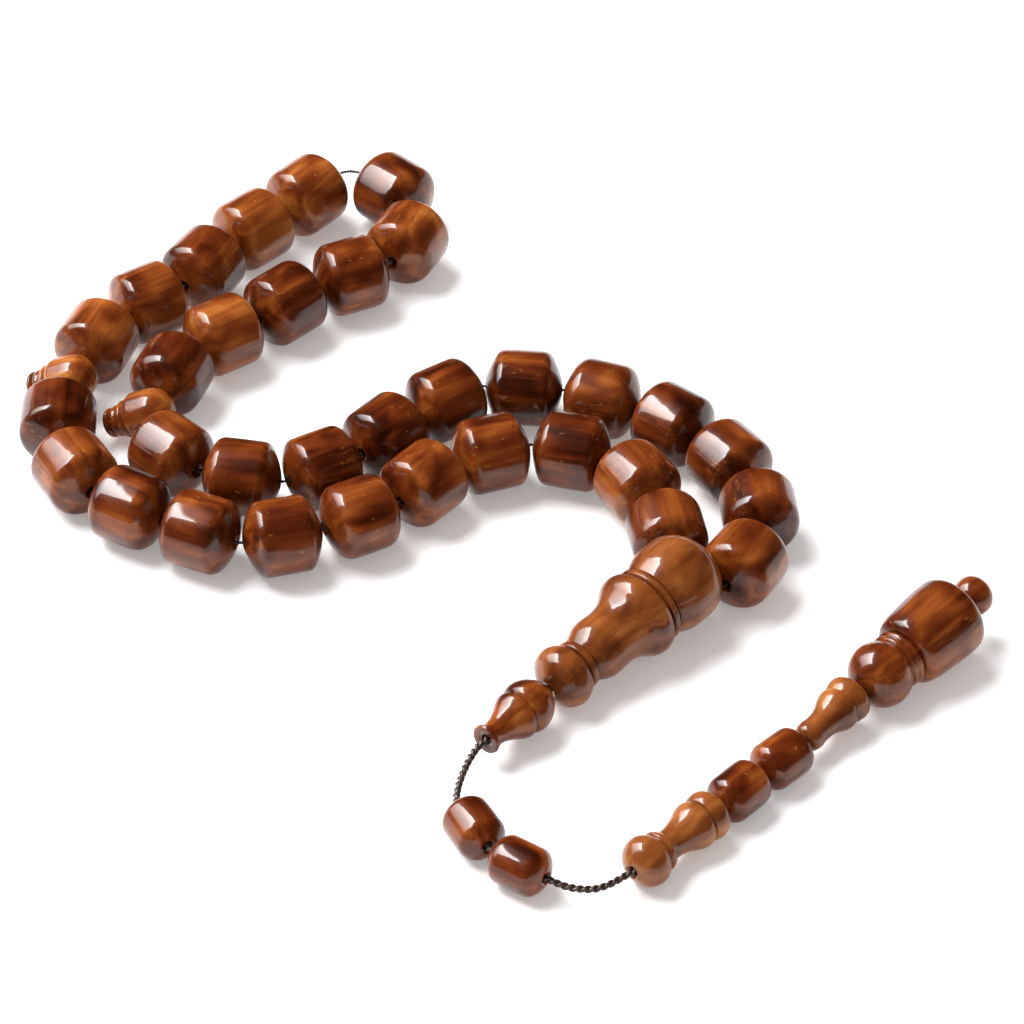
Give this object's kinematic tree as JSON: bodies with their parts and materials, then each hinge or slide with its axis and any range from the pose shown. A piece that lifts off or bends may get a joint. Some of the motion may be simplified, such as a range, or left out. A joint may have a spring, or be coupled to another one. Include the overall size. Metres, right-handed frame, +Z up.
{
  "type": "prayer beads",
  "caption": "Misbaha: a closed strand of glossy turned barrel beads with divider stops, a turned leader bead and a braided-cord tassel of turned beads, lying loosely on a table.",
  "frame": {"origin": "on the table, under the middle of the bounding box of the beads", "axes": "+Z up off the table; +Y away from the viewer, from the tassel towards the far end of the strand; +X to the right, towards the tassel's end ball"},
  "size_m": [0.1647, 0.1875, 0.0168],
  "materials": {
    "bead_wood": "polished to a high gloss, amber to red brown with darker grain streaks along the bore",
    "turned_wood": "polished to a high gloss, amber brown",
    "light_wood": "polished to a high gloss, lighter orange amber with fine streaks",
    "dark_wood": "polished to a high gloss, deeper red brown",
    "braid": "braided dark brown cord, matte with a faint beige sheen",
    "string": "thin black beading string"
  },
  "bodies": {
    "leader_and_cords": {"leader": "light_wood", "loop_string": "string", "leader_knot": "braid", "tassel_cord": "braid", "end_ball": "dark_wood", "end_knot": "braid"},
    "stop_1": {"stop_1": "turned_wood"},
    "stop_2": {"stop_2": "turned_wood"},
    "knot_cover": {"knot_cover": "turned_wood"},
    "cord_bead_1": {"cord_bead_1": "dark_wood"},
    "cord_bead_2": {"cord_bead_2": "dark_wood"},
    "spindle": {"spindle": "light_wood"},
    "cord_bead_3": {"cord_bead_3": "dark_wood"},
    "cord_bead_4": {"cord_bead_4": "dark_wood"},
    "vase_bead": {"vase_bead": "light_wood"},
    "finial": {"finial": "dark_wood"},
    "bead_01": {"bead_01": "bead_wood"},
    "bead_02": {"bead_02": "bead_wood"},
    "bead_03": {"bead_03": "bead_wood"},
    "bead_04": {"bead_04": "bead_wood"},
    "bead_05": {"bead_05": "bead_wood"},
    "bead_06": {"bead_06": "bead_wood"},
    "bead_07": {"bead_07": "bead_wood"},
    "bead_08": {"bead_08": "bead_wood"},
    "bead_09": {"bead_09": "bead_wood"},
    "bead_10": {"bead_10": "bead_wood"},
    "bead_11": {"bead_11": "bead_wood"},
    "bead_12": {"bead_12": "bead_wood"},
    "bead_13": {"bead_13": "bead_wood"},
    "bead_14": {"bead_14": "bead_wood"},
    "bead_15": {"bead_15": "bead_wood"},
    "bead_16": {"bead_16": "bead_wood"},
    "bead_17": {"bead_17": "bead_wood"},
    "bead_18": {"bead_18": "bead_wood"},
    "bead_19": {"bead_19": "bead_wood"},
    "bead_20": {"bead_20": "bead_wood"},
    "bead_21": {"bead_21": "bead_wood"},
    "bead_22": {"bead_22": "bead_wood"},
    "bead_23": {"bead_23": "bead_wood"},
    "bead_24": {"bead_24": "bead_wood"},
    "bead_25": {"bead_25": "bead_wood"},
    "bead_26": {"bead_26": "bead_wood"},
    "bead_27": {"bead_27": "bead_wood"},
    "bead_28": {"bead_28": "bead_wood"},
    "bead_29": {"bead_29": "bead_wood"},
    "bead_30": {"bead_30": "bead_wood"},
    "bead_31": {"bead_31": "bead_wood"},
    "bead_32": {"bead_32": "bead_wood"},
    "bead_33": {"bead_33": "bead_wood"}
  },
  "joints": [
    {"name": "stop_1_swing", "type": "hinge", "parent": "leader_and_cords", "child": "stop_1", "pos_m": [-0.06062, 0.02328, 0.0066], "axis": [0.2588, 0.9659, 0], "range_deg": [0, 140]},
    {"name": "stop_2_swing", "type": "hinge", "parent": "leader_and_cords", "child": "stop_2", "pos_m": [-0.07457, 0.03277, 0.0066], "axis": [0.342, 0.9397, 0], "range_deg": [0, 230]},
    {"name": "knot_cover_spin", "type": "hinge", "parent": "leader_and_cords", "child": "knot_cover", "pos_m": [0.00231, -0.05409, 0.0055], "axis": [-0.6428, -0.766, 0], "continuous": true},
    {"name": "cord_bead_1_spin", "type": "hinge", "parent": "leader_and_cords", "child": "cord_bead_1", "pos_m": [-0.00411, -0.0791, 0.0042], "axis": [0.4695, -0.8829, 0], "continuous": true},
    {"name": "cord_bead_2_spin", "type": "hinge", "parent": "leader_and_cords", "child": "cord_bead_2", "pos_m": [0.00328, -0.08793, 0.0042], "axis": [0.8192, -0.5736, 0], "continuous": true},
    {"name": "spindle_spin", "type": "hinge", "parent": "leader_and_cords", "child": "spindle", "pos_m": [0.02803, -0.08207, 0.0044], "axis": [0.682, 0.7314, 0], "continuous": true},
    {"name": "cord_bead_3_spin", "type": "hinge", "parent": "leader_and_cords", "child": "cord_bead_3", "pos_m": [0.03855, -0.07045, 0.0042], "axis": [0.6561, 0.7547, 0], "continuous": true},
    {"name": "cord_bead_4_spin", "type": "hinge", "parent": "leader_and_cords", "child": "cord_bead_4", "pos_m": [0.04564, -0.06273, 0.0042], "axis": [0.6947, 0.7193, 0], "continuous": true},
    {"name": "vase_bead_spin", "type": "hinge", "parent": "leader_and_cords", "child": "vase_bead", "pos_m": [0.05377, -0.05321, 0.00477], "axis": [0.6148, 0.7869, 0.0523], "continuous": true},
    {"name": "finial_spin", "type": "hinge", "parent": "leader_and_cords", "child": "finial", "pos_m": [0.06776, -0.0383, 0.00652], "axis": [0.6794, 0.7286, 0.0872], "continuous": true},
    {"name": "bead_01_spin", "type": "hinge", "parent": "leader_and_cords", "child": "bead_01", "pos_m": [0.04085, -0.0167, 0.0066], "axis": [0.5, 0.866, 0], "continuous": true},
    {"name": "bead_02_spin", "type": "hinge", "parent": "leader_and_cords", "child": "bead_02", "pos_m": [0.04386, -0.00314, 0.0066], "axis": [-0.0872, 0.9962, 0], "continuous": true},
    {"name": "bead_03_spin", "type": "hinge", "parent": "leader_and_cords", "child": "bead_03", "pos_m": [0.0391, 0.00993, 0.0066], "axis": [-0.5736, 0.8192, 0], "continuous": true},
    {"name": "bead_04_spin", "type": "hinge", "parent": "leader_and_cords", "child": "bead_04", "pos_m": [0.02969, 0.02019, 0.0066], "axis": [-0.766, 0.6428, 0], "continuous": true},
    {"name": "bead_05_spin", "type": "hinge", "parent": "leader_and_cords", "child": "bead_05", "pos_m": [0.01762, 0.02716, 0.0066], "axis": [-0.9397, 0.342, 0], "continuous": true},
    {"name": "bead_06_spin", "type": "hinge", "parent": "leader_and_cords", "child": "bead_06", "pos_m": [0.00403, 0.03018, 0.0066], "axis": [-0.9962, 0.0872, 0], "continuous": true},
    {"name": "bead_07_spin", "type": "hinge", "parent": "leader_and_cords", "child": "bead_07", "pos_m": [-0.00941, 0.02658, 0.0066], "axis": [-0.8192, -0.5736, 0], "continuous": true},
    {"name": "bead_08_spin", "type": "hinge", "parent": "leader_and_cords", "child": "bead_08", "pos_m": [-0.01967, 0.01717, 0.0066], "axis": [-0.6428, -0.766, 0], "continuous": true},
    {"name": "bead_09_spin", "type": "hinge", "parent": "leader_and_cords", "child": "bead_09", "pos_m": [-0.03035, 0.00821, 0.0066], "axis": [-0.866, -0.5, 0], "continuous": true},
    {"name": "bead_10_spin", "type": "hinge", "parent": "leader_and_cords", "child": "bead_10", "pos_m": [-0.04404, 0.0058, 0.0066], "axis": [-0.9848, 0.1736, 0], "continuous": true},
    {"name": "bead_11_spin", "type": "hinge", "parent": "leader_and_cords", "child": "bead_11", "pos_m": [-0.05636, 0.01221, 0.0066], "axis": [-0.7071, 0.7071, 0], "continuous": true},
    {"name": "bead_12_spin", "type": "hinge", "parent": "leader_and_cords", "child": "bead_12", "pos_m": [-0.0571, 0.0341, 0.0066], "axis": [0.342, 0.9397, 0], "continuous": true},
    {"name": "bead_13_spin", "type": "hinge", "parent": "leader_and_cords", "child": "bead_13", "pos_m": [-0.04865, 0.04511, 0.0066], "axis": [0.8192, 0.5736, 0], "continuous": true},
    {"name": "bead_14_spin", "type": "hinge", "parent": "leader_and_cords", "child": "bead_14", "pos_m": [-0.03802, 0.05403, 0.0066], "axis": [0.7071, 0.7071, 0], "continuous": true},
    {"name": "bead_15_spin", "type": "hinge", "parent": "leader_and_cords", "child": "bead_15", "pos_m": [-0.0266, 0.06203, 0.0066], "axis": [0.9063, 0.4226, 0], "continuous": true},
    {"name": "bead_16_spin", "type": "hinge", "parent": "leader_and_cords", "child": "bead_16", "pos_m": [-0.01676, 0.07186, 0.0066], "axis": [0.4226, 0.9063, 0], "continuous": true},
    {"name": "bead_17_spin", "type": "hinge", "parent": "leader_and_cords", "child": "bead_17", "pos_m": [-0.01934, 0.0865, 0.0066], "axis": [-0.7071, 0.7071, 0], "continuous": true},
    {"name": "bead_18_spin", "type": "hinge", "parent": "leader_and_cords", "child": "bead_18", "pos_m": [-0.03507, 0.08581, 0.0066], "axis": [-0.6428, -0.766, 0], "continuous": true},
    {"name": "bead_19_spin", "type": "hinge", "parent": "leader_and_cords", "child": "bead_19", "pos_m": [-0.0444, 0.07564, 0.0066], "axis": [-0.7071, -0.7071, 0], "continuous": true},
    {"name": "bead_20_spin", "type": "hinge", "parent": "leader_and_cords", "child": "bead_20", "pos_m": [-0.05287, 0.06459, 0.0066], "axis": [-0.5, -0.866, 0], "continuous": true},
    {"name": "bead_21_spin", "type": "hinge", "parent": "leader_and_cords", "child": "bead_21", "pos_m": [-0.06229, 0.05431, 0.0066], "axis": [-0.8192, -0.5736, 0], "continuous": true},
    {"name": "bead_22_spin", "type": "hinge", "parent": "leader_and_cords", "child": "bead_22", "pos_m": [-0.07074, 0.0433, 0.0066], "axis": [-0.342, -0.9397, 0], "continuous": true},
    {"name": "bead_23_spin", "type": "hinge", "parent": "leader_and_cords", "child": "bead_23", "pos_m": [-0.07619, 0.02112, 0.0066], "axis": [0, -1, 0], "continuous": true},
    {"name": "bead_24_spin", "type": "hinge", "parent": "leader_and_cords", "child": "bead_24", "pos_m": [-0.07259, 0.00768, 0.0066], "axis": [0.5, -0.866, 0], "continuous": true},
    {"name": "bead_25_spin", "type": "hinge", "parent": "leader_and_cords", "child": "bead_25", "pos_m": [-0.06276, -0.00215, 0.0066], "axis": [0.866, -0.5, 0], "continuous": true},
    {"name": "bead_26_spin", "type": "hinge", "parent": "leader_and_cords", "child": "bead_26", "pos_m": [-0.05051, -0.00852, 0.0066], "axis": [0.9063, -0.4226, 0], "continuous": true},
    {"name": "bead_27_spin", "type": "hinge", "parent": "leader_and_cords", "child": "bead_27", "pos_m": [-0.03666, -0.00973, 0.0066], "axis": [0.9659, 0.2588, 0], "continuous": true},
    {"name": "bead_28_spin", "type": "hinge", "parent": "leader_and_cords", "child": "bead_28", "pos_m": [-0.02376, -0.00452, 0.0066], "axis": [0.8746, 0.4848, 0], "continuous": true},
    {"name": "bead_29_spin", "type": "hinge", "parent": "leader_and_cords", "child": "bead_29", "pos_m": [-0.013, 0.00435, 0.0066], "axis": [0.6428, 0.766, 0], "continuous": true},
    {"name": "bead_30_spin", "type": "hinge", "parent": "leader_and_cords", "child": "bead_30", "pos_m": [-0.00161, 0.01232, 0.0066], "axis": [0.9397, 0.342, 0], "continuous": true},
    {"name": "bead_31_spin", "type": "hinge", "parent": "leader_and_cords", "child": "bead_31", "pos_m": [0.01226, 0.01293, 0.0066], "axis": [0.9659, -0.2588, 0], "continuous": true},
    {"name": "bead_32_spin", "type": "hinge", "parent": "leader_and_cords", "child": "bead_32", "pos_m": [0.02336, 0.00442, 0.0066], "axis": [0.5, -0.866, 0], "continuous": true},
    {"name": "bead_33_spin", "type": "hinge", "parent": "leader_and_cords", "child": "bead_33", "pos_m": [0.02813, -0.00868, 0.0066], "axis": [0.1736, -0.9848, 0], "continuous": true}
  ]
}
